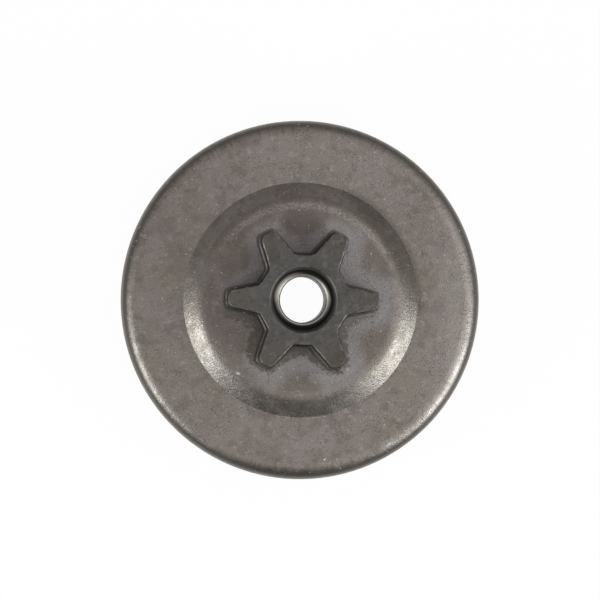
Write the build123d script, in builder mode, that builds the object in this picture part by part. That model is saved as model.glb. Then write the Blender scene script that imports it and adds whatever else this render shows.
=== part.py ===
"""Chainsaw clutch drum with a six-tooth spur sprocket and a bearing bush.

Millimetres, +Z up along the shaft. The origin is on the axis, in the plane of the drum's open rim.
The drum stands on that rim, with the sprocket on top, and one tooth points along +X.
"""
import os
from math import cos, radians, sin, tan

from build123d import *

# Clutch drum, drawn from one steel sheet
drum_diameter = 72.0
drum_height = 18.0  # open rim to the outer ring of the closed face
sheet_thickness = 2.3
rim_corner_radius = 3.2  # outside bend between the closed face and the side wall
plateau_foot_diameter = 47.0
plateau_rise = 2.5
plateau_slope = 34.0  # degrees from level
plateau_shoulder_radius = 4.5

# Six-tooth spur, for low-profile chain of 3/8 in pitch
teeth = 6
spur_diameter = 29.7  # across the tooth tips
spur_height = 11.0  # above the plateau
root_across_flats = 17.6
root_flat_width = 3.7
flank_angle = 12.0  # degrees that each flank leans towards the tooth's own middle
root_corner_radius = 1.2
tip_corner_radius = 1.3
spur_chamfer = 0.2  # broken edge round the spur's face
bore_chamfer = 0.6

# Pilot of the spur, brazed into the drum's centre hole
pilot_diameter = 17.0
pilot_overhang = 1.0  # beyond the inside of the drum's face
braze_gap = 0.05  # all round the pilot

# Bearing bush, pressed into the spur's bore
bush_diameter = 12.0
shaft_diameter = 9.0
running_clearance = 0.1  # on the shaft's diameter
press_gap = 0.01  # all round the bush, which the spur's bore grips
bush_recess = 3.0  # its outer end below the spur's face
bush_mouth_turn = 50.0  # degrees that the rounded mouth turns down from level

# Levels and radii that follow from those sizes
drum_radius = drum_diameter / 2
track_radius = drum_radius - sheet_thickness  # inside wall, on which the clutch shoes grip
plateau_level = drum_height + plateau_rise
spur_top = plateau_level + spur_height
pilot_end = plateau_level - sheet_thickness - pilot_overhang
bush_top = spur_top - bush_recess
bush_bore_radius = (shaft_diameter + running_clearance) / 2
bore_radius = bush_diameter / 2
bush_radius = bore_radius - press_gap
mouth_radius = (bush_radius - bush_bore_radius) / sin(radians(bush_mouth_turn))


def drum_section():
    """Corners of the drum's half section, each as (radius, height, bend radius)."""
    slope = radians(plateau_slope)
    foot = plateau_foot_diameter / 2
    shoulder = foot - plateau_rise / tan(slope)
    bend_shift = sheet_thickness * tan(slope / 2)  # keeps the sloping sheet at full thickness
    hole = pilot_diameter / 2 + braze_gap
    ring_inside = drum_height - sheet_thickness
    plateau_inside = plateau_level - sheet_thickness
    return [
        (hole, plateau_level, 0),
        (shoulder, plateau_level, plateau_shoulder_radius),
        (foot, drum_height, 0),
        (drum_radius, drum_height, rim_corner_radius),
        (drum_radius, 0, 0),
        (track_radius, 0, 0),
        (track_radius, ring_inside, 0),
        (foot - bend_shift, ring_inside, 0),
        (shoulder - bend_shift, plateau_inside, 0),
        (hole, plateau_inside, 0),
    ]


def tooth_corners(axis_angle):
    """Root and tip corners of one tooth, with its flanks run on past the tip circle."""
    half_pitch = radians(180 / teeth)
    root_x = root_across_flats / 2 * cos(half_pitch) + root_flat_width / 2 * sin(half_pitch)
    root_y = root_across_flats / 2 * sin(half_pitch) - root_flat_width / 2 * cos(half_pitch)
    tip_x = spur_diameter / 2 + tip_corner_radius
    tip_y = root_y - (tip_x - root_x) * tan(radians(flank_angle))
    corners = [(root_x, -root_y), (tip_x, -tip_y), (tip_x, tip_y), (root_x, root_y)]
    return [Vector(x, y).rotate(Axis.Z, axis_angle) for x, y in corners]


# Drum: one drawn cup, turned from its half section
with BuildPart() as drum:
    with BuildSketch(Plane.XZ):
        with BuildLine():
            section = drum_section()
            FilletPolyline(
                [(radius, height) for radius, height, _ in section],
                radius=[bend for _, _, bend in section],
                close=True,
            )
        make_face()
    revolve(axis=Axis.Z)

# Spur: star of teeth on the plateau, with its pilot through the drum and the bush's bore
with BuildPart() as spur:
    with BuildSketch(Plane.XY.offset(plateau_level)) as star:
        with BuildLine():
            Polyline([corner for k in range(teeth) for corner in tooth_corners(k * 360 / teeth)], close=True)
        make_face()
        Circle(spur_diameter / 2, mode=Mode.INTERSECT)
        by_radius = star.vertices().sort_by(SortBy.DISTANCE)
        fillet(by_radius[-2 * teeth :], tip_corner_radius)
        by_radius = star.vertices().sort_by(SortBy.DISTANCE)
        fillet(by_radius[: 2 * teeth], root_corner_radius)
    extrude(amount=spur_height)
    chamfer(spur.faces().sort_by(Axis.Z)[-1].outer_wire().edges(), spur_chamfer)
    with BuildSketch(Plane.XY.offset(plateau_level)):
        Circle(pilot_diameter / 2)
    extrude(amount=pilot_end - plateau_level)
    with BuildSketch(Plane.XY.offset(pilot_end)):
        Circle(bore_radius)
    extrude(amount=spur_top - pilot_end, mode=Mode.SUBTRACT)
    chamfer(spur.faces().sort_by(Axis.Z)[-1].inner_wires()[0].edges(), bore_chamfer)

# Bush: plain sleeve, flush with the pilot's end, with a rounded mouth below the spur's face
with BuildPart() as bush:
    with BuildSketch(Plane.XZ):
        with BuildLine():
            mouth = CenterArc((bush_radius, bush_top - mouth_radius), mouth_radius, 90, bush_mouth_turn)
            Polyline(
                mouth @ 1,
                (bush_bore_radius, pilot_end),
                (bush_radius, pilot_end),
                mouth @ 0,
            )
        make_face()
    revolve(axis=Axis.Z)

os.makedirs("parts", exist_ok=True)
for name, piece in {"clutch_drum": drum, "spur_sprocket": spur, "bearing_bush": bush}.items():
    piece.part.label = name
    export_step(piece.part, f"parts/{name}.step")
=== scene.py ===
"""Looks of a chainsaw clutch drum: steel finishes, braze round the spur's foot, floor, lamps and camera.

Sizes are in millimetres unless a name says otherwise. The frame itself is in metres.
"""
from math import atan2, cos, hypot, pi, radians, sin

import bpy
from mathutils import Matrix, Vector, noise


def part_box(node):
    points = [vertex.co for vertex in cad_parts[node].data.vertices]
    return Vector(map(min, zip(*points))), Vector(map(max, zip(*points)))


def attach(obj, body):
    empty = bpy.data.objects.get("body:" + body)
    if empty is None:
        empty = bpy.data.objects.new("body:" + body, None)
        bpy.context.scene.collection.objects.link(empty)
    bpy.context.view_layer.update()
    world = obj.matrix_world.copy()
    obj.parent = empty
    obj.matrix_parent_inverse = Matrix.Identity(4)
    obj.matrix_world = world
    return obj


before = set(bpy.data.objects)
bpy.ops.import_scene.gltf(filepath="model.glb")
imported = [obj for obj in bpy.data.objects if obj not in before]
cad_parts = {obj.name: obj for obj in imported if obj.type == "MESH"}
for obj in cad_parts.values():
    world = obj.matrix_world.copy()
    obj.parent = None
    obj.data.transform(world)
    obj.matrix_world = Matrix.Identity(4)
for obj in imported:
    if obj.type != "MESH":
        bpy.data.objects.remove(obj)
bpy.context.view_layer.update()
MM = 0.001

# Levels and radii read from the frame
plateau_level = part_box("clutch_drum")[1].z / MM
drum_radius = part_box("clutch_drum")[1].x / MM
spur_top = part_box("spur_sprocket")[1].z / MM
tip_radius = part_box("spur_sprocket")[1].x / MM

# Drum, spur and bush, as the solids have them
track_radius = drum_radius - 2.3
ring_level = plateau_level - 2.5
plateau_foot_radius = 23.5
teeth = 6
root_apothem = 8.8
root_half_width = 1.85
flank_lean = radians(12)
tip_rounding = 1.7
root_rounding = 0.5
bore_radius = 6.0
bore_edge_radius = bore_radius + 0.6
bush_bore_radius = 4.55

half_pitch = pi / teeth
root_x = root_apothem * cos(half_pitch) + root_half_width * sin(half_pitch)
root_y = root_apothem * sin(half_pitch) - root_half_width * cos(half_pitch)
flank_offset = root_x * sin(flank_lean) + root_y * cos(flank_lean)

# Wear, stains, painted shade and painted light on the plateau
worn_shoulder_radius = 18.9
stain_gullet_rounding = 8.0
stain_size = 1.1
stain_swing = 1.2
out_of_reach = 20.0

# Braze round the spur's foot
bead_points = 720
bead_width = 0.35
bead_height = 0.25
bead_sunk = 0.2
bead_inside = 0.6
bead_lump_size = 2.2
bead_lump_gain = 0.7
bead_near_gain = 0.5
bead_near_reach = 12.0
# Painted shade in the corner at the spur's foot is moved this far to the right
seam_shift = 0.35

# Shares of metal and mirror in the shaders
bare_metal = 0.85
covered_metal = 0.2
dull_mirror = 0.2

# View of the photograph
aim_height = 14.8
view_distance = 800.0
view_width = 120.5
lean_left = radians(2.5)
lean_near = radians(0.2)
view_roll = radians(1.2)
sensor_width = 36.0

# Lamps: azimuth, elevation (degrees), side of the soft box and power (W)
lamp_distance = 600.0
lamps = {"left_soft_box": (206, 24, 250.0, 2.05), "right_soft_box": (332, 24, 300.0, 2.25)}
lamp_colour = "#f1fbfb"

# Sky and floor: light from all round, azimuth of the brighter half (degrees), side and share of white
sky_level = 0.28
sky_bright_azimuth = 312
floor_side = 12000.0
floor_white = 0.97


def linear(colour):
    """Linear RGBA of an sRGB hex colour."""
    parts = [int(colour[k : k + 2], 16) / 255 for k in (1, 3, 5)]
    return [p / 12.92 if p <= 0.04045 else ((p + 0.055) / 1.055) ** 2.4 for p in parts] + [1.0]


def add(tree, kind, inputs=None, out=0, **settings):
    """Adds one node with its settings. Each input takes a value or the socket that feeds it."""
    node = tree.nodes.new(kind)
    for name, value in settings.items():
        setattr(node, name, value)
    for name, value in (inputs or {}).items():
        if isinstance(value, bpy.types.NodeSocket):
            tree.links.new(value, node.inputs[name])
        else:
            node.inputs[name].default_value = value
    return node.outputs[out] if node.outputs else None


# Steps that masks and colours are made of, each added to the tree of the socket it works on


def calc(operation, *values):
    """One step of arithmetic."""
    return add(values[0].id_data, "ShaderNodeMath", dict(enumerate(values)), operation=operation)


def vector_calc(operation, *vectors):
    """One step of vector arithmetic that gives a vector."""
    return add(vectors[0].id_data, "ShaderNodeVectorMath", dict(enumerate(vectors)), operation=operation)


def measure(operation, *vectors):
    """One step of vector arithmetic that gives a number."""
    inputs = dict(enumerate(vectors))
    return add(vectors[0].id_data, "ShaderNodeVectorMath", inputs, out="Value", operation=operation)


def scaled(vector, factor):
    """Vector times a factor."""
    return add(vector.id_data, "ShaderNodeVectorMath", {0: vector, "Scale": factor}, operation="SCALE")


def coordinate(place, axis):
    """Coordinate of a place along X, Y or Z."""
    return add(place.id_data, "ShaderNodeSeparateXYZ", {0: place}, out=axis)


def towards(place, azimuth):
    """How far a point lies from the axis towards that azimuth in degrees."""
    return measure("DOT_PRODUCT", place, (cos(radians(azimuth)), sin(radians(azimuth)), 0))


def off_axis(place):
    """The place seen along the axis, with its height left out."""
    return vector_calc("MULTIPLY", place, (1, 1, 0))


def ramp(value, start, end, strength=1.0, base=0.0):
    """Mask that changes smoothly from base at start to strength at end."""
    spread = {"Value": value, "From Min": start, "From Max": end, "To Min": base, "To Max": strength}
    return add(value.id_data, "ShaderNodeMapRange", spread, interpolation_type="SMOOTHSTEP")


def between(mask, low, high):
    """Value that goes evenly from low to high as the mask shows."""
    return add(mask.id_data, "ShaderNodeMapRange", {"Value": mask, "To Min": low, "To Max": high})


def both(first, second):
    """Mask that shows where both masks do."""
    return calc("MULTIPLY", first, second)


def lumps(place, size, detail=3.0):
    """Uneven level between 0 and 1 that changes over about size mm."""
    return add(place.id_data, "ShaderNodeTexNoise", {"Vector": place, "Scale": 1 / size, "Detail": detail})


def patches(place, size, low, high, strength=1.0, detail=3.0):
    """Mask of irregular patches about size mm across, rising from 0 to strength between two levels."""
    return ramp(lumps(place, size, detail), low, high, strength)


def spot(place, centre, size, turn=0.0, soft=0.4, strength=1.0, depth=3.0):
    """Mask of one oval spot about centre, with its half sizes in mm and its turn in degrees."""
    laid = {"Vector": place, "Location": centre, "Rotation": (0, 0, radians(turn)), "Scale": (*size, depth)}
    inside = add(place.id_data, "ShaderNodeMapping", laid, vector_type="TEXTURE")
    return ramp(measure("LENGTH", inside), 1.0, 1.0 - soft, strength)


def lay(colour, layers):
    """Lays tones over a colour, each where its mask shows."""
    colour = linear(colour)
    for mask, tone in layers:
        mixed = {0: mask, 6: colour, 7: linear(tone)}
        colour = add(mask.id_data, "ShaderNodeMix", mixed, out=2, data_type="RGBA")
    return colour


def grain(place, size, depth, detail):
    """Bump of uneven grain, with its size and depth in mm.

    It is drawn coarser than real grain, which is finer than the photograph's pixels.
    """
    height = lumps(place, size, detail)
    return add(place.id_data, "ShaderNodeBump", {"Height": height, "Strength": 1.0, "Distance": depth * MM})


# Materials, from empty nodes to the finished shader


def blank_nodes(owner):
    """Empty node tree of a material or the world."""
    owner.use_nodes = True
    owner.node_tree.nodes.clear()
    return owner.node_tree


def blank_finish(name):
    """Empty material, and the place on the piece in millimetres."""
    material = bpy.data.materials.new(name)
    metres = add(blank_nodes(material), "ShaderNodeTexCoord", out="Object")
    return material, scaled(metres, 1 / MM)


def close_finish(material, settings):
    """Closes a material with one shader that has these settings."""
    shader = add(material.node_tree, "ShaderNodeBsdfPrincipled", settings)
    add(material.node_tree, "ShaderNodeOutputMaterial", {"Surface": shader})
    return material


# Outline of the spur, once in numbers for the bead and once in nodes for the masks


def star_distance(x, y, root_blend):
    """How far a point lies outside the spur's outline, below zero inside it."""
    fold = abs((atan2(y, x) + half_pitch) % (2 * half_pitch) - half_pitch)
    tooth_x = hypot(x, y) * cos(fold)
    tooth_y = hypot(x, y) * sin(fold)
    flank = tooth_x * sin(flank_lean) + tooth_y * cos(flank_lean) - flank_offset
    tip = tooth_x - tip_radius
    root = tooth_x * cos(half_pitch) + tooth_y * sin(half_pitch) - root_apothem
    tooth = max(flank, tip) + max(tip_rounding - abs(flank - tip), 0) ** 3 / tip_rounding**2 / 6
    return min(root, tooth) - max(root_blend - abs(root - tooth), 0) ** 3 / root_blend**2 / 6


def star_mask_distance(place, root_blend):
    """The same distance from the spur's outline, worked out by a material's nodes."""
    angle = calc("ARCTAN2", coordinate(place, "Y"), coordinate(place, "X"))
    fold = calc("PINGPONG", angle, half_pitch)
    unit = add(place.id_data, "ShaderNodeCombineXYZ", {0: calc("COSINE", fold), 1: calc("SINE", fold)})
    tooth = scaled(unit, measure("LENGTH", off_axis(place)))
    lines = {
        "flank": ((sin(flank_lean), cos(flank_lean), 0), flank_offset),
        "tip": ((1, 0, 0), tip_radius),
        "root": ((cos(half_pitch), sin(half_pitch), 0), root_apothem),
    }
    away = {}
    for name, (normal, offset) in lines.items():
        away[name] = calc("SUBTRACT", measure("DOT_PRODUCT", tooth, normal), offset)
    tooth_away = calc("SMOOTH_MAX", away["flank"], away["tip"], tip_rounding)
    return calc("SMOOTH_MIN", away["root"], tooth_away, root_blend)


# Finishes


def sheet_clouds_and_left_shade(place):
    """Clouds of the heat treatment, and painted shade that makes the left side a little darker."""
    return [
        (patches(place, 9.0, 0.45, 0.62, 0.7), "#978d8b"),
        (patches(place, 6.5, 0.5, 0.68, 0.6), "#8d867a"),
        (patches(place, 5.0, 0.53, 0.7, 0.55), "#7a6f6a"),
        (patches(place, 1.9, 0.5, 0.7, 0.55), "#776e68"),
        (patches(place, 1.5, 0.55, 0.72, 0.55), "#aba49d"),
        # Painted shade: the left side of the sheet darker
        (ramp(towards(place, 180), -10.0, drum_radius, 0.2), "#6f6660"),
    ]


def plateau_tones(place, height, ragged, below):
    """Tones on the plateau: paler and greyer round the spur and browner outwards.

    Painted shade lies on the far left and in the far gullet, and painted light in the far-left gullets.
    """
    # Painted shade on the far left of the plateau, where the spur shades it from the lamps
    far_left_shade = both(ramp(height, ring_level + 1.6, ring_level + 2.3), patches(place, 3.5, 0.25, 0.6, 0.5))
    far_left_shade = both(far_left_shade, ramp(towards(place, 140), 5.0, 12.0))
    outer = both(ramp(ragged, 2.2, 4.0, 0.42), ramp(below, out_of_reach, 0.0))
    # Painted light, lifting the shade in the far-left gullets
    far_gullets_light = both(ramp(ragged, 3.5, 1.5, 0.4), ramp(towards(place, 120), 4.0, 9.0))
    right_gullets = both(ramp(ragged, 5.5, 3.0, 0.6), ramp(towards(place, 330), -6.0, 5.0))
    return [
        (ramp(ragged, 3.5, 1.5, 0.5), "#a09a9b"),
        # Painted shade: a darker purple-grey spot in the far gullet, where the spur shades it
        (spot(place, (0, 14, plateau_level), (5.5, 5.0), soft=0.5, strength=0.4), "#6b6266"),
        (far_left_shade, "#675b58"),
        (outer, "#6d625c"),
        (far_gullets_light, "#aca3a6"),
        (right_gullets, "#a5a1a1"),
    ]


def slope_tones(place, reach, slope):
    """Painted shade on the slope's far right, worn specks painted as glints on its far shoulder, and
    painted light on the ring to the right.
    """
    # Painted shade on the far right of the slope
    shade = both(slope, ramp(towards(place, 33), 17.5, 20.5, 0.45))
    # Worn specks on the far shoulder, painted lighter as glints of light
    inside = ramp(reach, worn_shoulder_radius - 1.1, worn_shoulder_radius - 0.2)
    shoulder_wear_and_glint = both(inside, ramp(reach, worn_shoulder_radius + 1.0, worn_shoulder_radius + 0.2))
    shoulder_wear_and_glint = both(shoulder_wear_and_glint, ramp(towards(place, 85), 6.0, 15.0, 0.45))
    return [
        (shade, "#5d544d"),
        (both(shoulder_wear_and_glint, patches(place, 0.5, 0.34, 0.6)), "#b0a8a2"),
        # Painted light: the annulus lighter towards the right
        (ramp(towards(place, 0), 24.0, 33.0, 0.5), "#aea6a1"),
    ]


def brazing_stains_and_crease_shade(place, ragged, below):
    """Dark stain with a brown edge in the near gullets, crumbs at one tooth, and painted shade in the
    crease round the braze.
    """
    near_side = ramp(towards(place, 260), -5.0, 8.0)
    left_gullet = ramp(towards(place, 195), 10.0, 12.5, 0.9)
    left_gullet = both(left_gullet, ramp(towards(place, 270), 13.0, 10.5))
    soaked = calc("SUBTRACT", ragged, left_gullet)
    brown_edge = both(ramp(soaked, 2.1, 1.7, 0.6), ramp(soaked, 1.0, 1.4))
    brown_edge = both(both(brown_edge, near_side), patches(place, 0.8, 0.36, 0.54))
    crumbs = spot(place, (8.0, -13.7, plateau_level), (2.2, 1.6), 20, 0.7)
    # Painted shade: a dark line in the crease round the braze at the spur's foot
    crease_shade_distance = calc("ADD", star_mask_distance(place, root_rounding), below)
    return [
        (both(ramp(soaked, 1.8, 0.8, 0.6), near_side), "#565145"),
        (brown_edge, "#5d4f36"),
        (both(crumbs, patches(place, 0.7, 0.42, 0.54, 0.8)), "#4c372d"),
        (ramp(crease_shade_distance, 0.9, 0.5, 0.65), "#38332f"),
    ]


def rim_and_wall(place, height, reach):
    """Painted shade on bend and near rim, the wall below painted lighter as the floor's reflection, draw
    streaks, turned shoe track.
    """
    outline = scaled(vector_calc("NORMALIZE", off_axis(place)), drum_radius)
    streaks = both(patches(outline, 0.7, 0.5, 0.7, 0.4), ramp(reach, drum_radius - 3.4, drum_radius - 2.4))
    # Painted shade on the near rim
    near_rim_shade = ramp(towards(place, 270), drum_radius - 3.4, drum_radius - 1.4, 0.4)
    near_rim_shade = both(near_rim_shade, ramp(height, ring_level - 1.6, ring_level - 0.9))
    track = ramp(reach, track_radius + 0.1, track_radius + 0.05)
    track = both(track, ramp(height, ring_level - 2.4, ring_level - 2.5))
    return [
        # Painted shade: the bend darker. Painted reflection: the wall below it lighter again, as of the
        # floor
        (ramp(height, ring_level - 0.35, ring_level - 1.0, 0.85), "#48433d"),
        (ramp(height, ring_level - 1.3, ring_level - 1.9, 0.7), "#827b74"),
        (near_rim_shade, "#3a3631"),
        (streaks, "#5c554f"),
        (track, "#a39d95"),
    ]


def sheet_pits(place, height, slope):
    """Pits of the tumbling, more of them on the near side of the slope, and points that sparkle."""
    pits = both(patches(place, 0.4, 0.56, 0.7, 0.5, 1.0), patches(place, 4.0, 0.46, 0.6))
    slope_pits = both(slope, patches(place, 0.36, 0.52, 0.66, 0.6, 1.0))
    slope_pits = both(slope_pits, ramp(towards(place, 270), -8.0, 4.0))
    sparkles = patches(place, 0.45, 0.71, 0.78, 0.7, 1.0)
    sparkles = both(sparkles, ramp(height, ring_level - 2, ring_level - 1))
    return [
        (patches(place, 0.28, 0.45, 0.7, 0.3, 1.0), "#5f5852"),
        (pits, "#4c4540"),
        (slope_pits, "#5c564f"),
        (sparkles, "#d8d3cb"),
    ]


def single_marks(place):
    """Bright speck, scratch, chip and dark speck at their places in the photograph."""
    return [
        (spot(place, (-12.3, -14.9, plateau_level), (0.6, 0.35), -20, 0.6), "#c2beb8"),
        (spot(place, (18.4, -28.5, ring_level), (1.1, 0.4), 30, 0.9, 0.8), "#c2bcb4"),
        (spot(place, (5.5, -31.8, ring_level), (0.36, 0.16), 45), "#e0dcd5"),
        (spot(place, (24.9, -23.4, ring_level), (0.35, 0.3), 0, 0.6, 0.8), "#4a443f"),
    ]


def drawn_sheet_steel():
    """Low-carbon steel sheet, cold drawn, heat treated and tumbled.

    To the eye it is a warm brown-grey with cloudy patches, a fine pitted grain that sparkles where a
    lamp catches it, and stains from the brazing in the gullets of the spur. The side wall has streaks
    along the draw, and the shoe track inside is turned bright. Shade is painted on the left, on the
    plateau's far left, in the far gullet, on the slope's far right, in the crease round the braze, on
    the bend and on the near rim. Light is painted in the far-left gullets, on the annulus to the right,
    as glints on the far shoulder, and on the wall below the bend as the floor's reflection.
    """
    material, place = blank_finish("drawn_sheet_steel")
    height = coordinate(place, "Z")
    reach = measure("LENGTH", off_axis(place))

    # Ragged distance from the spur with rounder gullets, out of reach of any stain or painted light below
    # the plateau
    below = ramp(height, plateau_level - 0.5, plateau_level - 0.9, out_of_reach)
    around = calc("ADD", star_mask_distance(place, stain_gullet_rounding), below)
    ragged = calc("MULTIPLY_ADD", lumps(place, stain_size), stain_swing, around)

    slope = ramp(reach, worn_shoulder_radius - 0.1, worn_shoulder_radius + 1.4)
    slope = both(slope, ramp(reach, plateau_foot_radius + 1.5, plateau_foot_radius))

    layers = sheet_clouds_and_left_shade(place)
    layers += plateau_tones(place, height, ragged, below)
    layers += slope_tones(place, reach, slope)
    layers += brazing_stains_and_crease_shade(place, ragged, below)
    layers += rim_and_wall(place, height, reach)
    layers += sheet_pits(place, height, slope)
    layers += single_marks(place)
    steel = {
        "Base Color": lay("#918882", layers),
        "Metallic": bare_metal,
        "Roughness": between(patches(place, 2.1, 0.3, 0.7), 0.36, 0.46),
        "Normal": grain(place, 0.28, 0.055, 1.0),
    }
    return close_finish(material, steel)


def hardened_tool_steel():
    """Case-hardened steel, machined and tumbled.

    To the eye it is darker and greyer than the drum, mottled and a little olive out on the teeth. Its
    flanks and bore are painted near black as shade, with a rougher, less metallic scale there, and a thin
    broken line of wear, painted lighter as a glint, runs along the edges of its face and round the bore.
    """
    material, place = blank_finish("hardened_tool_steel")
    height = coordinate(place, "Z")
    reach = measure("LENGTH", off_axis(place))
    star = star_mask_distance(place, root_rounding)

    # Painted shade: flanks and bore near black, where the finish is also rougher and less metallic
    flank = both(ramp(star, -1.0, -0.6), ramp(height, spur_top - 0.2, spur_top - 0.4))
    dark_scale_and_shade = calc("MAXIMUM", flank, ramp(reach, bore_edge_radius, bore_radius + 0.02))
    # Worn edges of the face, painted lighter as glints
    edge_wear_and_glint = both(ramp(star, -0.22, -0.12), ramp(height, spur_top - 0.3, spur_top - 0.1))
    # Worn edge of the bore, painted lighter as a glint
    lip_wear_and_glint = both(
        ramp(reach, bore_edge_radius - 0.12, bore_edge_radius - 0.04, 0.7),
        ramp(reach, bore_edge_radius + 0.1, bore_edge_radius + 0.02),
    )
    layers = [
        (ramp(reach, 8.5, 14.0, 0.7), "#635c54"),
        (patches(place, 4.0, 0.46, 0.66, 0.65), "#534e4b"),
        (patches(place, 1.4, 0.5, 0.7, 0.65), "#746f6a"),
        (patches(place, 0.9, 0.5, 0.7, 0.55), "#4d4844"),
        (spot(place, (7.2, -11.6, spur_top), (3.0, 2.5), soft=0.8, strength=0.4), "#5a4f47"),
        (patches(place, 0.4, 0.64, 0.72, 0.4, 1.0), "#45413e"),
        (patches(place, 0.42, 0.7, 0.77, 0.6, 1.0), "#98938c"),
        (dark_scale_and_shade, "#2a2724"),
        (both(dark_scale_and_shade, patches(place, 2.5, 0.45, 0.65, 0.6)), "#463d36"),
        (both(edge_wear_and_glint, patches(place, 1.2, 0.48, 0.62, 0.5)), "#a8a39b"),
        (both(lip_wear_and_glint, patches(place, 3.0, 0.4, 0.55)), "#8a8783"),
    ]
    steel = {
        "Base Color": lay("#605d5b", layers),
        "Metallic": between(dark_scale_and_shade, bare_metal, covered_metal),
        "Roughness": between(dark_scale_and_shade, 0.48, 0.8),
        "Specular IOR Level": dull_mirror,
        "Normal": grain(place, 0.4, 0.04, 2.0),
    }
    return close_finish(material, steel)


def polished_bearing_steel():
    """Bearing steel, ground and polished.

    To the eye it is black from its outside to a burnished lip: the black is a painted dark reflection,
    and the finish there is less metallic. It lies further in on the far and near sides and less far in on
    the far left. The lip carries a painted highlight, brightest on the near side. The running bore is
    painted dark as shade, and painted lighter on its far wall.
    """
    material, place = blank_finish("polished_bearing_steel")
    reach = measure("LENGTH", off_axis(place))
    # Painted dark reflection: a black ring from the bush's outside in, where the finish is also less
    # metallic
    dark_ring_reach = calc("MULTIPLY_ADD", calc("ABSOLUTE", towards(place, 90)), 0.08, reach)
    dark_ring_reach = calc("SUBTRACT", dark_ring_reach, ramp(towards(place, 135), 3.0, 5.6, 0.45))
    painted_dark_ring = ramp(dark_ring_reach, bush_bore_radius + 0.5, bush_bore_radius + 1.25)
    # Painted highlight on the burnished lip, brightest on the near side
    lip_wear_and_glint = both(
        ramp(reach, bush_bore_radius + 0.11, bush_bore_radius + 0.21),
        ramp(reach, bush_bore_radius + 0.5, bush_bore_radius + 0.33),
    )
    # Painted shade in the running bore, and painted light on its far wall
    running_bore_shade = ramp(reach, bush_bore_radius + 0.19, bush_bore_radius + 0.09)
    layers = [
        (painted_dark_ring, "#0f0d0b"),
        (lip_wear_and_glint, "#c8c2ba"),
        (both(lip_wear_and_glint, ramp(towards(place, 270), 0.0, 4.0)), "#f4f0ea"),
        (running_bore_shade, "#33302d"),
        (both(running_bore_shade, ramp(towards(place, 60), 0.5, 4.0)), "#8d8881"),
    ]
    rings = vector_calc("MULTIPLY", place, (0.05, 0.05, 1))
    steel = {
        "Base Color": lay("#8d857c", layers),
        "Metallic": between(calc("MAXIMUM", painted_dark_ring, running_bore_shade), bare_metal, covered_metal),
        "Roughness": between(running_bore_shade, 0.5, 0.45),
        "Specular IOR Level": dull_mirror,
        "Normal": grain(rings, 0.2, 0.002, 2.0),
    }
    return close_finish(material, steel)


def oxidised_braze():
    """Braze filler after the furnace.

    To the eye it is brown-grey and lumpy with rusty specks, and darker on the near side. In the corner
    under the spur, a little to the right of its foot, it is painted black as shade.
    """
    material, place = blank_finish("oxidised_braze")
    seam = vector_calc("SUBTRACT", place, (seam_shift, 0, 0))
    layers = [
        (patches(place, 1.2, 0.45, 0.65, 0.6), "#5a4d40"),
        (patches(place, 0.5, 0.55, 0.68, 0.6), "#463a30"),
        (ramp(towards(place, 265), 0.0, 8.0, 0.55), "#4c453e"),
        # Painted shade: black in the corner under the spur, a little right of its foot
        (ramp(star_mask_distance(seam, root_rounding), 0.55, 0.1, 0.9), "#2c2825"),
    ]
    braze = {
        "Base Color": lay("#756d67", layers),
        "Metallic": 0.5,
        "Roughness": 0.55,
        "Normal": grain(place, 0.5, 0.08, 3.0),
    }
    return close_finish(material, braze)


# Braze, floor, light and view


def foot_place(angle, away):
    """Point in that direction at that distance outside the spur's foot, found by halving the way out."""
    near, far = 0.5 * root_apothem, 1.3 * tip_radius
    while far - near > 1e-4:
        middle = (near + far) / 2
        if star_distance(middle * cos(angle), middle * sin(angle), root_rounding) < away:
            near = middle
        else:
            far = middle
    return near * cos(angle), near * sin(angle)


def braze_bead():
    """Lumpy ring of braze in the corner between spur and plateau, fuller on the near side."""
    # Section of the bead as shares of its width and height, below zero for what is hidden in the metal
    section = [(-1, -1), (-1, 1), (0.05, 1), (0.35, 0.5), (0.75, 0.15), (1, -1)]
    bpy.ops.object.select_all(action="DESELECT")
    bpy.ops.mesh.primitive_circle_add(vertices=bead_points, radius=1.0, fill_type="NOTHING")
    bead = bpy.context.object
    bead.name = "braze_bead"
    bpy.ops.object.mode_set(mode="EDIT")
    for _ in section[1:]:
        bpy.ops.mesh.extrude_edges_move(TRANSFORM_OT_translate={"value": (0, 0, 1)})
    bpy.ops.mesh.select_all(action="SELECT")
    bpy.ops.mesh.region_to_loop()
    bpy.ops.mesh.bridge_edge_loops()
    bpy.ops.object.mode_set(mode="OBJECT")
    for point in bead.data.vertices:
        out, up = section[round(point.co.z)]
        angle = atan2(point.co.y, point.co.x)
        foot = foot_place(angle, 0)
        near_side = min(max(-foot[1] / bead_near_reach, 0), 1)
        unevenness = noise.noise(Vector((foot[0], foot[1], 0)) / bead_lump_size)
        lump = 1 + bead_near_gain * near_side + bead_lump_gain * unevenness
        away = out * (bead_inside if out < 0 else bead_width * lump)
        rise = up * (bead_sunk if up < 0 else bead_height * lump)
        x, y = foot_place(angle, away)
        point.co = Vector((x, y, plateau_level + rise)) * MM
    bpy.ops.object.mode_set(mode="EDIT")
    bpy.ops.mesh.select_all(action="SELECT")
    bpy.ops.mesh.normals_make_consistent(inside=False)
    bpy.ops.object.mode_set(mode="OBJECT")
    bpy.ops.object.shade_smooth_by_angle(angle=radians(60))
    bead.data.materials.append(oxidised_braze())
    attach(bead, "root")


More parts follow.
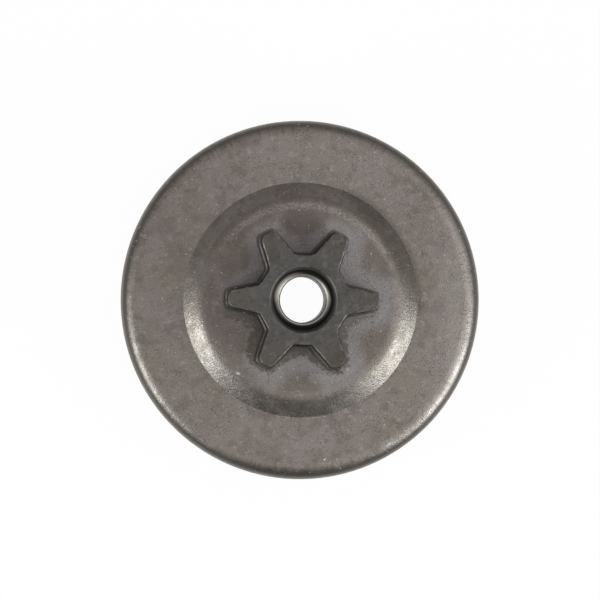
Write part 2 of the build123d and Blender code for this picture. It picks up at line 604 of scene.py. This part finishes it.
def pale_floor():
    """White studio floor. The camera and the metal see it white, and it keeps a faint shadow."""
    bpy.ops.mesh.primitive_plane_add(size=floor_side * MM)
    floor = bpy.context.object
    floor.name = "studio_floor"
    material = bpy.data.materials.new("white_paper")
    tree = blank_nodes(material)
    path = add(tree, "ShaderNodeLightPath").node.outputs
    seen = calc("ADD", path["Is Camera Ray"], path["Is Glossy Ray"])
    seen = calc("ADD", seen, path["Is Transmission Ray"])
    share = add(tree, "ShaderNodeMath", {0: seen, 1: floor_white}, operation="MULTIPLY", use_clamp=True)
    paper = add(tree, "ShaderNodeBsdfDiffuse", {"Color": linear("#f2f2f2")})
    white = add(tree, "ShaderNodeEmission", {"Strength": 1.0})
    shader = add(tree, "ShaderNodeMixShader", {0: share, 1: paper, 2: white})
    add(tree, "ShaderNodeOutputMaterial", {"Surface": shader})
    floor.data.materials.append(material)


def studio_sky():
    """Soft light from overhead, stronger to the near right, dark about the lens, dim low down and near."""
    world = bpy.data.worlds.new("studio_sky")
    tree = blank_nodes(world)
    # Directions have length 1, so heights run from 0 at the horizon to 1 overhead
    direction = add(tree, "ShaderNodeTexCoord", out="Generated")
    height = coordinate(direction, "Z")
    bright_side = ramp(towards(direction, sky_bright_azimuth), -0.4, 0.6, 1.65, 0.55)
    level = calc("ADD", both(ramp(height, 0.35, 0.85), bright_side), sky_level)
    about_lens = ramp(height, 0.9925, 0.97, 1.0, 0.01)
    near_side = ramp(towards(direction, 270), 0.15, 0.85, 0.12, 1.0)
    level = both(both(level, about_lens), near_side)
    sky = add(tree, "ShaderNodeBackground", {"Strength": level})
    add(tree, "ShaderNodeOutputWorld", {"Surface": sky})
    bpy.context.scene.world = world


def soft_boxes():
    """Two square soft boxes, low on either side of the near edge, aimed at the part."""
    aim = Vector((0, 0, aim_height * MM))
    for name, (azimuth, elevation, side, power) in lamps.items():
        out = cos(radians(elevation))
        way = Vector((cos(radians(azimuth)) * out, sin(radians(azimuth)) * out, sin(radians(elevation))))
        bpy.ops.object.light_add(type="AREA", location=aim + way * lamp_distance * MM)
        lamp = bpy.context.object
        lamp.name = name
        lamp.rotation_euler = way.to_track_quat("Z", "Y").to_euler()
        lamp.data.size = side * MM
        lamp.data.energy = power
        lamp.data.color = linear(lamp_colour)[:3]


def photo_camera():
    """Camera over the sprocket, leaning a little left and near, and rolled as the photograph is."""
    back = Vector((-sin(lean_left), -sin(lean_near), 1)).normalized()
    up = Vector((-sin(view_roll), cos(view_roll), 0))
    right = up.cross(back).normalized()
    turn = Matrix((right, back.cross(right), back)).transposed()
    aim = Vector((0, 0, aim_height * MM))
    bpy.ops.object.camera_add(location=aim + back * view_distance * MM, rotation=turn.to_euler())
    camera = bpy.context.object
    camera.data.sensor_width = sensor_width
    camera.data.lens = sensor_width * view_distance / view_width
    bpy.context.scene.camera = camera


finishes = {
    "clutch_drum": drawn_sheet_steel(),
    "spur_sprocket": hardened_tool_steel(),
    "bearing_bush": polished_bearing_steel(),
}
for node, finish in finishes.items():
    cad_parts[node].material_slots[0].material = finish
braze_bead()
pale_floor()
studio_sky()
soft_boxes()
photo_camera()
bpy.context.scene.view_settings.view_transform = "Standard"
